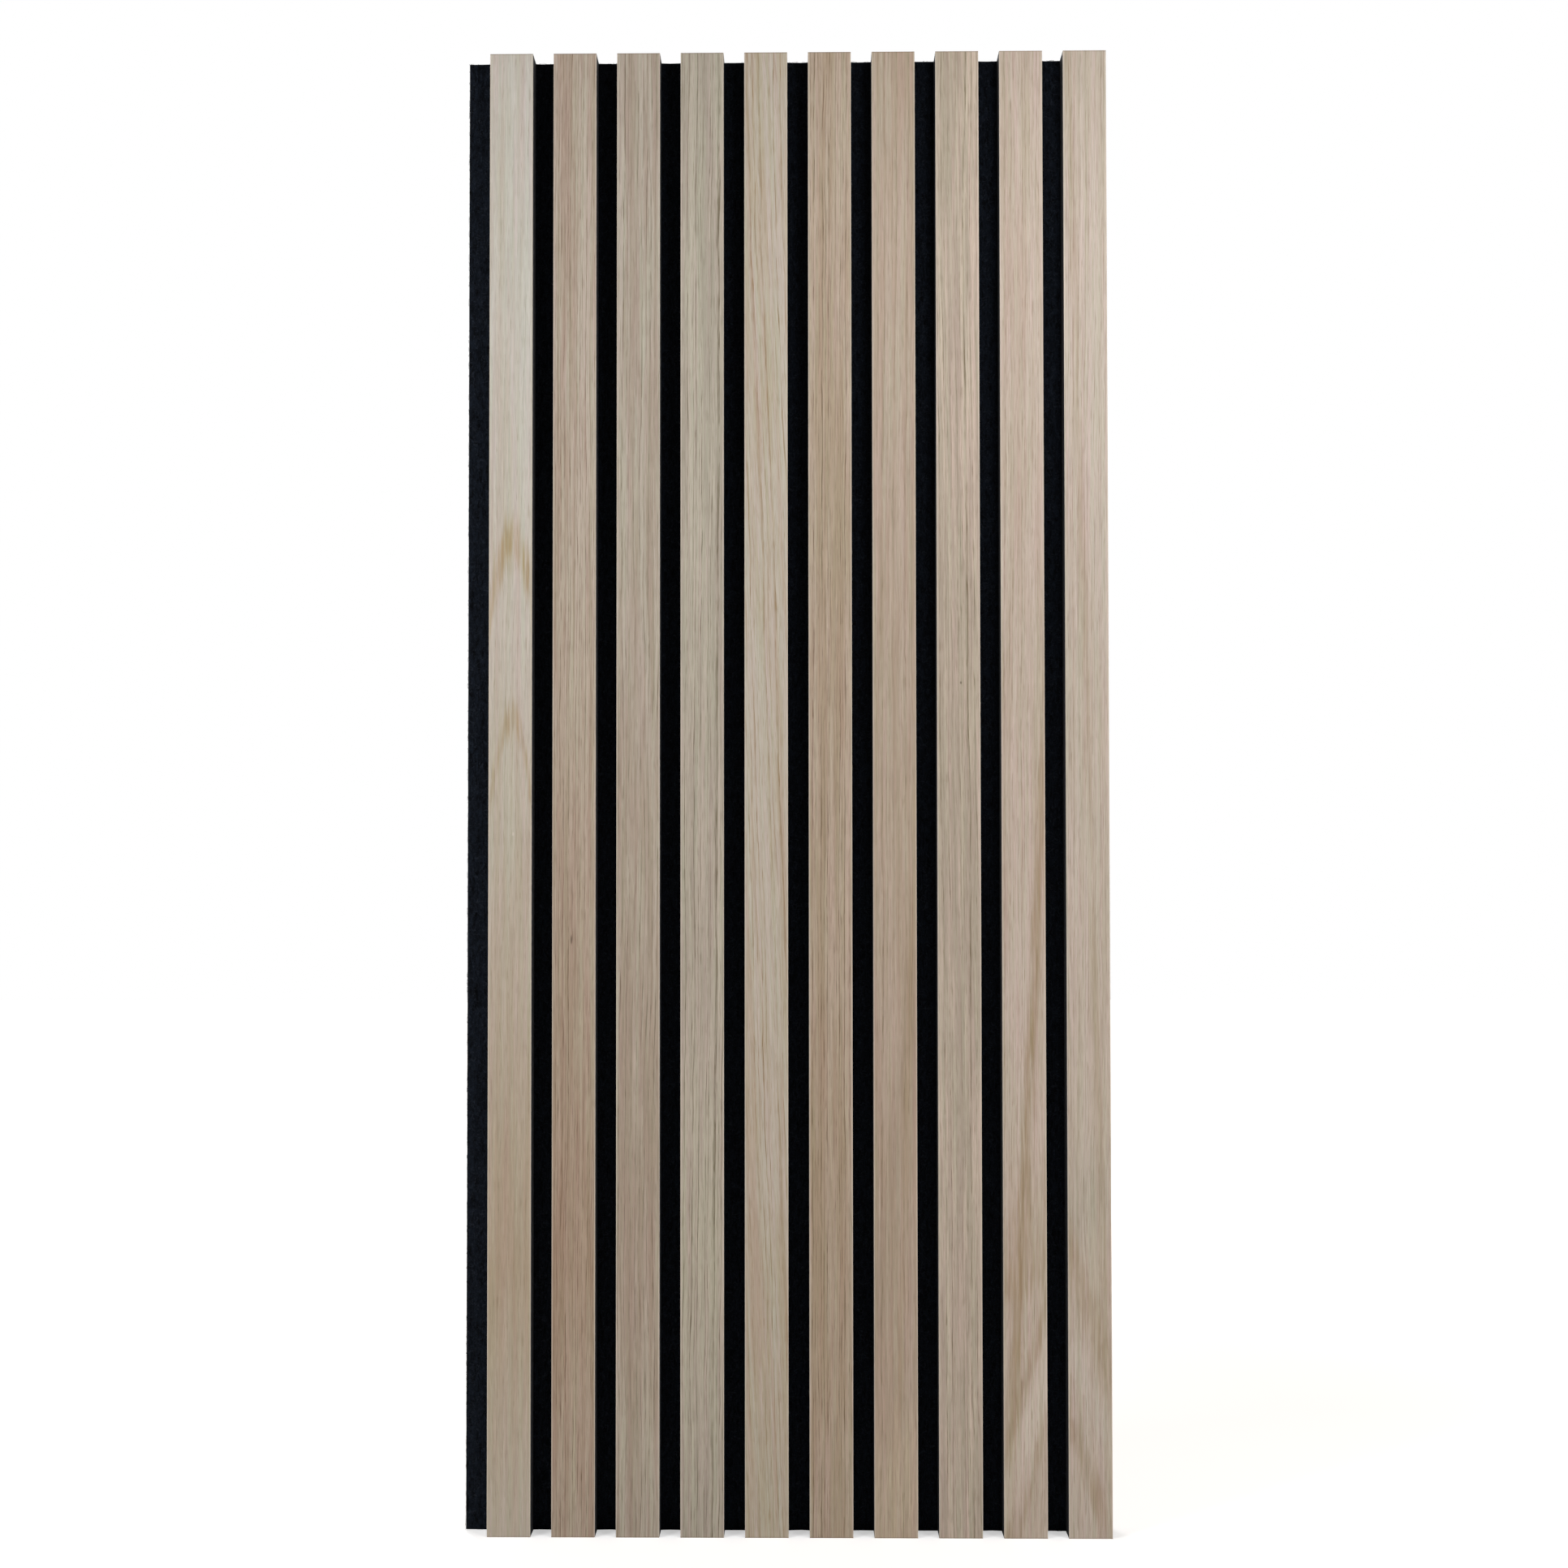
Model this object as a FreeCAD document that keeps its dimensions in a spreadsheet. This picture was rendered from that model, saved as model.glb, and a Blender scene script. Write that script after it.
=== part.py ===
import FreeCAD, Part
import enum
import os

import Sketcher

# Acoustic slat wall panel: wood-faced slats stapled side by side onto a felt board.
# The origin is the centre of the back face, which lies on the wall. +Y points into the wall,
# +Z runs up along the slats, and the felt lip stands out on the -X side. Sizes are in millimetres.

# Driving sizes: alias, value and meaning
SIZES = [
    ("slat_count", 10, "slats across the panel"),
    ("slat_width", 27.0, "width of a slat"),
    ("slat_gap", 13.0, "open space between neighbouring slats"),
    ("panel_length", 927.0, "length of the felt and of every slat"),
    ("felt_lip", 15.5, "felt left bare beside the first slat"),
    ("felt_thickness", 9.0, "thickness of the felt board"),
    ("core_thickness", 11.4, "thickness of a slat's fibreboard core"),
    ("veneer_thickness", 0.6, "thickness of the wood face"),
    ("veneer_arris", 0.3, "radius of the eased front edges of the wood face"),
    ("staple_rows", 7, "rows of staples along the length"),
    ("staple_margin", 45.0, "distance of the end rows from the ends"),
    ("staple_crown", 10.0, "staple width over its legs"),
    ("staple_wire", 0.6, "thickness of the staple wire"),
    ("staple_band", 1.2, "width of the staple wire"),
    ("staple_sink", 0.3, "depth of the crown below the felt's back"),
    ("staple_bite", 7.0, "depth of the leg tips in the core"),
    ("staple_chisel", 1.0, "length of the slanted leg tips"),
]

# Sizes that follow from the driving ones
DERIVED_SIZES = [
    ("slat_pitch", "=slat_width + slat_gap", "slat centre to slat centre"),
    ("panel_width", "=felt_lip + slat_count * slat_pitch - slat_gap", "width of the felt board"),
    ("first_slat_x", "=felt_lip + (slat_width - panel_width) / 2", "centre of the first slat"),
    ("slat_span", "=slat_pitch * (slat_count - 1)", "centre of the first slat to centre of the last"),
    ("core_front", "=felt_thickness + core_thickness", "depth of the core's front face"),
    ("veneer_front", "=core_front + veneer_thickness", "depth of the wood face"),
    ("first_row_z", "=staple_margin - panel_length / 2", "height of the lowest staple row"),
    ("row_span", "=panel_length - 2 * staple_margin", "lowest staple row to highest"),
    ("crown_front", "=staple_sink + staple_wire", "depth of the crown's inner face"),
    ("leg_tip", "=felt_thickness + staple_bite", "depth of the leg tips"),
]

# How far apart two corners may lie and still count as one place
SAME_PLACE = 1e-6


class LinePoint(enum.IntEnum):
    """Numbers of a line's two ends in a sketch; the origin counts as a start."""

    START = 1
    END = 2


class SketchOwn(enum.IntEnum):
    """Numbers of what every sketch has of its own."""

    ORIGIN = -1
    VERTICAL_AXIS = -2


def make_sheet(doc):
    """Writes the sizes into a sheet, one per row, each with its meaning and its alias."""
    sheet = doc.addObject("Spreadsheet::Sheet", "dims")
    for row, (alias, value, meaning) in enumerate(SIZES + DERIVED_SIZES, start=1):
        sheet.set(f"A{row}", meaning)
        sheet.set(f"B{row}", str(value))
        sheet.setAlias(f"B{row}", alias)
    doc.recompute()
    return sheet


def make_body(doc, label):
    """Adds an empty body that is named for its piece."""
    body = doc.addObject("PartDesign::Body", label)
    body.Label = label
    return body


def origin_feature(body, role):
    """Finds the plane or axis of a body's own origin by its role."""
    return next(feature for feature in body.Origin.OriginFeatures if feature.Role == role)


def draw_section(body, name, right_side):
    """Draws a closed outline across the panel's length, mirrored about the sketch's vertical axis.

    The corners of the right side are pairs of expressions: the distance from the vertical axis and
    the depth in front of the wall. Every corner is tied to its two expressions.
    """
    sketch = body.newObject("Sketcher::SketchObject", name)
    sketch.AttachmentSupport = [(origin_feature(body, "XY_Plane"), "")]
    sketch.MapMode = "FlatFace"
    right = [
        FreeCAD.Vector(float(sketch.evalExpression(half)), -float(sketch.evalExpression(depth)), 0)
        for half, depth in right_side
    ]
    left = [FreeCAD.Vector(-corner.x, corner.y, 0) for corner in reversed(right)]
    corners = right + left
    count = len(corners)
    for index, corner in enumerate(corners):
        sketch.addGeometry(Part.LineSegment(corner, corners[(index + 1) % count]))
    for index in range(count):
        following = (index + 1) % count
        sketch.addConstraint(
            Sketcher.Constraint("Coincident", index, LinePoint.END, following, LinePoint.START)
        )
    for index, (half, depth) in enumerate(right_side):
        corner = (index, LinePoint.START)
        mirrored = (count - 1 - index, LinePoint.START)
        centre = (SketchOwn.ORIGIN, LinePoint.START)
        sketch.addConstraint(
            Sketcher.Constraint("Symmetric", *corner, *mirrored, SketchOwn.VERTICAL_AXIS)
        )
        across = sketch.addConstraint(Sketcher.Constraint("DistanceX", *centre, *corner, right[index].x))
        sketch.setExpression(f"Constraints[{across}]", half)
        down = sketch.addConstraint(Sketcher.Constraint("DistanceY", *corner, *centre, -right[index].y))
        sketch.setExpression(f"Constraints[{down}]", depth)
    return sketch


def draw_staple(body, name, crown_back):
    """Draws a staple's outline in the lowest row: crown towards the wall, legs with slanted tips."""
    outer = "dims.staple_crown / 2"
    inner = "dims.staple_crown / 2 - dims.staple_wire"
    sketch = draw_section(
        body,
        name,
        [
            (outer, crown_back),
            (outer, "dims.leg_tip"),
            (inner, "dims.leg_tip - dims.staple_chisel"),
            (inner, "dims.crown_front"),
        ],
    )
    sketch.setExpression("AttachmentOffset.Base.z", "dims.first_row_z")
    return sketch


def extrude(body, kind, name, sketch, length):
    """Pads or pockets a section to both sides of its plane, over the given length in all."""
    feature = body.newObject(f"PartDesign::{kind}", name)
    feature.Profile = sketch
    feature.SideType = "Symmetric"
    feature.setExpression("Length", length)
    sketch.Visibility = False
    return feature


def repeat_up_rows(body, name, staple):
    """Repeats the lowest row's staple up the panel, one copy for each row."""
    pattern = body.newObject("PartDesign::LinearPattern", name)
    pattern.Originals = [staple]
    pattern.Direction = (origin_feature(body, "Z_Axis"), [""])
    pattern.Mode = "Extent"
    pattern.setExpression("Length", "dims.row_span")
    pattern.setExpression("Occurrences", "dims.staple_rows")
    body.Tip = pattern
    return pattern


def spread_over_slats(pattern, body):
    """Carries a pattern of rows across the panel too, one column for each slat."""
    pattern.Direction2 = (origin_feature(body, "X_Axis"), [""])
    pattern.Mode2 = "Extent"
    pattern.setExpression("Length2", "dims.slat_span")
    pattern.setExpression("Occurrences2", "dims.slat_count")


def make_board(doc, label, width, back, front):
    """Pads a rectangular section between two depths over the panel's length."""
    body = make_body(doc, label)
    half = f"{width} / 2"
    section = draw_section(body, f"{label}_section", [(half, back), (half, front)])
    board = extrude(body, "Pad", f"{label}_board", section, "dims.panel_length")
    return body, board


def make_felt(doc):
    """Felt board, cut by the sunk crown and the two legs of every staple."""
    body, board = make_board(doc, "felt_backing", "dims.panel_width", "0", "dims.felt_thickness")
    outline = draw_staple(body, "felt_staple_outline", "0")
    outline.setExpression("AttachmentOffset.Base.x", "dims.first_slat_x")
    slot = extrude(body, "Pocket", "felt_staple_slot", outline, "dims.staple_band")
    doc.recompute()
    slots = repeat_up_rows(body, "felt_staple_slots", slot)
    spread_over_slats(slots, body)
    return body, board


def place_on_slat(body, index):
    """Moves a slat's piece, which is drawn about its own middle, to the slat's place in the row."""
    body.setExpression("Placement.Base.x", f"dims.first_slat_x + {index} * dims.slat_pitch")


def make_core(doc, index):
    """Fibreboard core of one slat, with a pair of leg holes in its back at every staple row."""
    label = f"slat_core_{index + 1:02d}"
    body, board = make_board(doc, label, "dims.slat_width", "dims.felt_thickness", "dims.core_front")
    outline = draw_staple(body, f"{label}_leg_outline", "dims.staple_sink")
    holes = extrude(body, "Pocket", f"{label}_leg_holes", outline, "dims.staple_band")
    doc.recompute()
    repeat_up_rows(body, f"{label}_leg_rows", holes)
    place_on_slat(body, index)
    return body, board


def front_long_edges(board, depth):
    """Names the edges along the length that lie at the given depth in front of the wall."""
    names = []
    for number, edge in enumerate(board.Shape.Edges, start=1):
        ends = [vertex.Point for vertex in edge.Vertexes]
        in_front = all(abs(end.y + depth) < SAME_PLACE for end in ends)
        along = abs(ends[0].x - ends[1].x) < SAME_PLACE
        if in_front and along:
            names.append(f"Edge{number}")
    return names


def make_veneer(doc, sheet, index):
    """Wood face of one slat, as wide as its core, with both long front edges eased."""
    label = f"slat_veneer_{index + 1:02d}"
    body, board = make_board(doc, label, "dims.slat_width", "dims.core_front", "dims.veneer_front")
    doc.recompute()
    arris = body.newObject("PartDesign::Fillet", f"{label}_arris")
    arris.Base = (board, front_long_edges(board, sheet.veneer_front))
    arris.setExpression("Radius", "min(dims.veneer_arris; dims.veneer_thickness / 2)")
    body.Tip = arris
    place_on_slat(body, index)
    return body


def make_staples(doc):
    """Wire staples, one for each slat in every row, seated in the slots of the felt and the cores."""
    body = make_body(doc, "staples")
    body.AllowCompound = True
    outline = draw_staple(body, "staple_outline", "dims.staple_sink")
    outline.setExpression("AttachmentOffset.Base.x", "dims.first_slat_x")
    staple = extrude(body, "Pad", "staple", outline, "dims.staple_band")
    doc.recompute()
    rows = repeat_up_rows(body, "staple_grid", staple)
    spread_over_slats(rows, body)
    return body


def check_document(doc):
    """Stops if any object of the document failed to build."""
    for item in doc.Objects:
        if "Invalid" in item.State or "Error" in item.State:
            raise RuntimeError(f"{item.Label} failed: {item.State}")


def check_piece(body, solids):
    """Stops if a piece is empty, not valid or not made of as many solids as it should be."""
    shape = body.Shape
    if shape.isNull() or not shape.isValid():
        raise RuntimeError(f"{body.Label} has no valid shape")
    if len(shape.Solids) != solids:
        raise RuntimeError(f"{body.Label} has {len(shape.Solids)} solids, not {solids}")


def check_pierced(body, board):
    """Stops if a board's staple holes took nothing away."""
    if body.Shape.Volume >= board.Shape.Volume:
        raise RuntimeError(f"{body.Label} is not pierced by its staples")


def main():
    """Builds every piece, checks them all and writes one file for each."""
    doc = FreeCAD.newDocument("slat_panel")
    sheet = make_sheet(doc)
    slat_count = int(sheet.slat_count)
    staple_count = slat_count * int(sheet.staple_rows)

    pierced = [make_felt(doc)]
    pierced += [make_core(doc, index) for index in range(slat_count)]
    veneers = [make_veneer(doc, sheet, index) for index in range(slat_count)]
    staples = make_staples(doc)
    doc.recompute()

    check_document(doc)
    for body, board in pierced:
        check_piece(body, 1)
        check_pierced(body, board)
    for body in veneers:
        check_piece(body, 1)
    check_piece(staples, staple_count)

    os.makedirs("parts", exist_ok=True)
    for body in [body for body, board in pierced] + veneers + [staples]:
        body.Shape.exportStep(os.path.join("parts", f"{body.Label}.step"))


main()
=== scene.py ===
"""Looks of an acoustic slat wall panel: oak-faced slats on black cores and a needled felt board.

The panel stands upright in the frame of its solids: +Z up along the slats, the room on the -Y side
and the wall on the +Y side. Sizes here are in millimetres and become metres through MM.
"""

import logging
import math
import random
from dataclasses import dataclass, replace
from enum import Enum

import bmesh
import bpy
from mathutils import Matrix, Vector


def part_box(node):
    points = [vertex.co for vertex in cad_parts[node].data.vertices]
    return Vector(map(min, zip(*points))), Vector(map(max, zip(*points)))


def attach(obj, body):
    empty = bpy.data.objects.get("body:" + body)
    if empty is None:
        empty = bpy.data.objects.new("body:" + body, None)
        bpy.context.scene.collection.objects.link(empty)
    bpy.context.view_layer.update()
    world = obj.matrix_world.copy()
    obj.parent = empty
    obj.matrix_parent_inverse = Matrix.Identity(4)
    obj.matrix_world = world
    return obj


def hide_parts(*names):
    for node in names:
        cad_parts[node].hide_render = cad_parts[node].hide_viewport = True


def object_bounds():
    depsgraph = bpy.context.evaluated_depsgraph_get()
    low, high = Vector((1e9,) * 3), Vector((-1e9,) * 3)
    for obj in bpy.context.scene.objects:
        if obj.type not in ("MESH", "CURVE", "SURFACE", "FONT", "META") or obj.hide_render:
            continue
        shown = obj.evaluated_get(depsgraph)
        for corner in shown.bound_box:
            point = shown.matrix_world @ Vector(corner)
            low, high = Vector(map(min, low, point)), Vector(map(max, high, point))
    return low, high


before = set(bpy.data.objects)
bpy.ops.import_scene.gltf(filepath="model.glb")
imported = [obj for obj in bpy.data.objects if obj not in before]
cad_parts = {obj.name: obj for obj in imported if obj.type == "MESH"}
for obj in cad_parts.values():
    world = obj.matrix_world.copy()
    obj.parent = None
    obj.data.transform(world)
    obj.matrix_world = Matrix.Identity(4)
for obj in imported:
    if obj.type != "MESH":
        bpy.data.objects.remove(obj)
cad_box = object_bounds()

MM = 0.001
BODY = "root"
LOG = logging.getLogger("slat_panel")

# Sockets of the Mix node when it mixes colours
MIX_AMOUNT, MIX_A, MIX_B, MIX_COLOUR = 0, 6, 7, 2

Tree = bpy.types.NodeTree
Socket = bpy.types.NodeSocket
Material = bpy.types.Material
Piece = bpy.types.Object
Span = tuple[float, float]
Point = tuple[float, float, float]
Colour = tuple[float, float, float, float]
SocketInput = Socket | float | Point | Colour | Vector
NodeInputs = dict[str | int, SocketInput] | tuple[SocketInput, ...]

# The value that noise lies about, and the span that most of it keeps to
NOISE_MIDDLE = 0.5
NOISE_SPAN: Span = (0.3, 0.7)


def linear(hex_colour: str) -> Colour:
    """Turns an sRGB hex colour into linear light.

    Args:
        hex_colour: six hex digits with or without a leading hash.

    Returns:
        Linear red, green and blue, and an alpha of one.
    """
    digits = hex_colour.lstrip("#")
    channels = [int(digits[start:start + 2], 16) / 255 for start in (0, 2, 4)]
    light = [c / 12.92 if c <= 0.04045 else ((c + 0.055) / 1.055) ** 2.4 for c in channels]
    return (*light, 1.0)


def add_node(
    tree: Tree, kind: str, inputs: NodeInputs = (), output: str | int = 0, **settings: object
) -> Socket | None:
    """Adds a node with its settings, values and links.

    Args:
        tree: the material's or the world's node tree.
        kind: the node's type name, less the ShaderNode that they all start with.
        inputs: a socket to link, or a value to set, for each named input or for the first ones in order.
        output: the output that the caller goes on with.
        settings: properties of the node itself.

    Returns:
        The chosen output socket, or None for a node that ends the tree.
    """
    node = tree.nodes.new(f"ShaderNode{kind}")
    for name, value in settings.items():
        setattr(node, name, value)
    keyed = inputs if isinstance(inputs, dict) else dict(enumerate(inputs))
    for key, value in keyed.items():
        if isinstance(value, Socket):
            tree.links.new(value, node.inputs[key])
        else:
            node.inputs[key].default_value = value
    return node.outputs[output] if node.outputs else None


def new_material(name: str) -> Material:
    """Makes an empty node material.

    Args:
        name: what the real material is.

    Returns:
        The material.
    """
    material = bpy.data.materials.new(name)
    material.use_nodes = True
    material.node_tree.nodes.clear()
    return material


def dress(piece: Piece, material: Material) -> None:
    """Gives a piece one material in its first slot.

    Args:
        piece: a new piece or a node of the frame.
        material: its finish.
    """
    slots = piece.data.materials
    if slots:
        slots[0] = material
    else:
        slots.append(material)


def take_alone(piece: Piece) -> None:
    """Makes one object the only selected and the active one.

    Args:
        piece: the object.
    """
    bpy.ops.object.select_all(action="DESELECT")
    piece.select_set(True)
    bpy.context.view_layer.objects.active = piece


class Coat(Enum):
    """How a colour lies on the colours below it."""

    PAINT = "MIX"
    GLAZE = "MULTIPLY"


@dataclass(frozen=True)
class Layer:
    """One colour that lies over others.

    Attributes:
        amount: how much of it shows, from 0 to 1.
        colour: its colour.
        coat: whether it covers what lies below or glazes it.
    """

    amount: SocketInput
    colour: SocketInput
    coat: Coat = Coat.PAINT


def layered(tree: Tree, ground: SocketInput, *layers: Layer) -> Socket:
    """Lays colours over a ground, one after another.

    Args:
        tree: the material's nodes.
        ground: the lowest colour.
        layers: the colours over it, from the lowest up.

    Returns:
        The colour that shows.
    """
    colour = ground
    for layer in layers:
        colour = add_node(
            tree, "Mix", {MIX_AMOUNT: layer.amount, MIX_A: colour, MIX_B: layer.colour},
            MIX_COLOUR, data_type="RGBA", blend_type=layer.coat.value,
        )
    return colour


class Cut(Enum):
    """How a veneer leaf was sliced from the log, as the sideways distance of the heart in millimetres."""

    QUARTER = 95.0
    RIFT = 60.0
    CROWN = 26.0


@dataclass(frozen=True)
class Figure:
    """One band of figure on a leaf, where the slice runs across a growth ring.

    Attributes:
        across: place of the band's middle from the slat's middle line.
        height: place of that point along the slat, from the panel's middle.
        lean: how many millimetres the band climbs for each millimetre to the right.
        half: half its thickness along the slat.
        jag: how far pores tear its rim along the slat.
        strength: how strongly it is tinted, from 0 to 1.
        bow: how steeply the band falls away to both sides, which makes it an arch.
        tint: its colour.
    """

    across: float
    height: float
    lean: float
    half: float
    jag: float
    strength: float
    bow: float = 0.0
    tint: str = "#978265"


@dataclass(frozen=True)
class Knot:
    """A small pin knot or gum streak.

    Attributes:
        across: place from the slat's middle line.
        height: place along the slat, from the panel's middle.
        half_width: half its size across the slat.
        half_length: half its size along the slat.
        tint: its colour.
    """

    across: float
    height: float
    half_width: float
    half_length: float
    tint: str = "#4A3B2E"


@dataclass(frozen=True)
class OakLeaf:
    """One leaf of sliced oak veneer, brushed and finished with a pale matt lacquer.

    Attributes:
        ground: colour of the dense summer wood.
        blush: colour that the ground drifts to in broad bands.
        pore: colour of the open pores that draw the lines.
        cut: how the leaf was sliced.
        ring: distance from ring to ring.
        line: strength of the ring lines, from 0 to 1.
        sway: sideways drift of the grain along the slat.
        lean: sideways drift of the grain for each millimetre up the slat.
        foot: how much browner the leaf is at its foot, from 0 to 1.
        figures: bands of figure on the leaf.
        knots: small spots on the leaf.
    """

    ground: str
    blush: str
    pore: str
    cut: Cut
    ring: float
    line: float
    sway: float
    lean: float = 0.0
    foot: float = 0.0
    figures: tuple[Figure, ...] = ()
    knots: tuple[Knot, ...] = ()


# Ten leaves from left to right as seen from the room, each from another part of a log
LEAVES = (
    OakLeaf(
        "#CAC4BB", "#C2B9AC", "#968A73", Cut.CROWN, ring=2.4, line=0.25, sway=3.0, foot=0.50,
        figures=(
            Figure(0.8, 156.0, lean=0.5, half=25.0, jag=11.0, strength=0.80, bow=0.24, tint="#A98F60"),
            Figure(1.5, 44.0, lean=0.2, half=16.0, jag=9.0, strength=0.60, bow=0.30, tint="#A98F60"),
        ),
        knots=(Knot(2.0, -28.0, half_width=0.7, half_length=1.3, tint="#CBC1B3"),),
    ),
    OakLeaf(
        "#BEB2A3", "#AF9D8D", "#745F49", Cut.QUARTER, ring=1.9, line=0.85, sway=1.6, foot=0.40,
        knots=(Knot(-1.5, -94.0, half_width=0.6, half_length=3.2),),
    ),
    OakLeaf("#BAB0A2", "#AA9B8C", "#726550", Cut.RIFT, ring=2.6, line=0.80, sway=4.2, foot=0.20),
    OakLeaf("#BBB1A2", "#AAA092", "#6E634E", Cut.RIFT, ring=2.4, line=0.95, sway=3.4, foot=0.11),
    OakLeaf("#BDB3A6", "#B3A592", "#8A6F48", Cut.RIFT, ring=3.6, line=0.85, sway=4.6, lean=0.035, foot=0.09),
    OakLeaf("#B7A695", "#A89680", "#6E5A43", Cut.QUARTER, ring=1.8, line=0.85, sway=1.4, foot=0.14),
    OakLeaf(
        "#B4A494", "#AB9886", "#84735C", Cut.RIFT, ring=2.1, line=0.70, sway=2.6, foot=0.10,
        figures=(
            Figure(-1.0, -245.0, lean=9.0, half=60.0, jag=25.0, strength=0.34, tint="#8D7C69"),
            Figure(11.0, -120.0, lean=30.0, half=110.0, jag=30.0, strength=0.32, tint="#A08A66"),
            Figure(0.0, -440.0, lean=1.0, half=70.0, jag=25.0, strength=0.65, tint="#C6B69E"),
        ),
    ),
    OakLeaf(
        "#C1B0A0", "#A99B8B", "#706149", Cut.RIFT, ring=2.1, line=0.70, sway=3.8, lean=0.01,
        knots=(Knot(1.4, 66.0, half_width=0.6, half_length=0.9),),
    ),
    OakLeaf(
        "#BEAEA1", "#B4A393", "#86715B", Cut.RIFT, ring=2.0, line=0.42, sway=2.2,
        figures=(
            Figure(6.0, -150.0, lean=19.0, half=115.0, jag=34.0, strength=0.95),
            Figure(3.0, -275.0, lean=1.0, half=58.0, jag=22.0, strength=0.45),
            Figure(0.0, -303.0, lean=0.6, half=20.0, jag=14.0, strength=0.45),
            Figure(1.5, -366.0, lean=3.6, half=19.0, jag=13.0, strength=0.75),
            Figure(6.6, -420.0, lean=4.4, half=17.0, jag=13.0, strength=0.55),
            Figure(-5.0, -420.0, lean=3.0, half=40.0, jag=16.0, strength=0.70, tint="#CDC2B3"),
        ),
    ),
    OakLeaf(
        "#BEB0A4", "#B6A899", "#86745F", Cut.RIFT, ring=2.0, line=0.65, sway=2.4, foot=0.08,
        figures=(
            Figure(2.0, -255.0, lean=0.6, half=46.0, jag=22.0, strength=0.55, tint="#A19C8C"),
            Figure(-7.0, -300.0, lean=-3.0, half=32.0, jag=18.0, strength=0.62),
            Figure(-2.0, -368.0, lean=-2.4, half=22.0, jag=12.0, strength=0.60, tint="#C2BBAF"),
            Figure(-5.0, -412.0, lean=-2.8, half=22.0, jag=14.0, strength=0.62),
            Figure(11.5, -380.0, lean=-40.0, half=150.0, jag=40.0, strength=0.40),
        ),
    ),
)


@dataclass(frozen=True)
class Sheet:
    """One leaf in its material, and a place on it in millimetres from the slat's middle.

    Attributes:
        tree: the material's nodes.
        leaf: the leaf's own colours and grain.
        seed: a number that sets it apart from the other leaves.
        face: the place on the slat.
        across: its part across the slat.
        along: its part along the slat.
        bent: its part across the grain, which wiggles and leans.
        grain: the place in the grain.
    """

    tree: Tree
    leaf: OakLeaf
    seed: float
    face: Socket
    across: Socket
    along: Socket
    bent: Socket
    grain: Socket


@dataclass(frozen=True)
class Streaks:
    """Noise that is stretched along the grain of a leaf. Sizes are in millimetres.

    Attributes:
        width: size of a streak across the slat.
        length: size of a streak along the slat.
        detail: how many finer layers lie on it.
        shift: a number that sets these streaks apart from the leaf's others.
        roughness: how strong the finer layers are.
        seed_step: how far apart neighbouring seeds lie in the noise.
    """

    width: float
    length: float
    detail: float
    shift: int
    roughness: float = 0.55
    seed_step: float = 7.31

    def draw(self, sheet: Sheet) -> Socket:
        """Draws the streaks along a leaf's grain.

        Args:
            sheet: the leaf.

        Returns:
            A value about 0.5.
        """
        shrink = (1 / self.width, 0.0, 1 / self.length)
        scaled = add_node(sheet.tree, "VectorMath", (sheet.grain, shrink), operation="MULTIPLY")
        return add_node(
            sheet.tree, "TexNoise",
            {"Vector": scaled, "W": (sheet.seed + self.shift) * self.seed_step, "Scale": 1.0,
             "Detail": self.detail, "Roughness": self.roughness},
            noise_dimensions="4D",
        )


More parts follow.
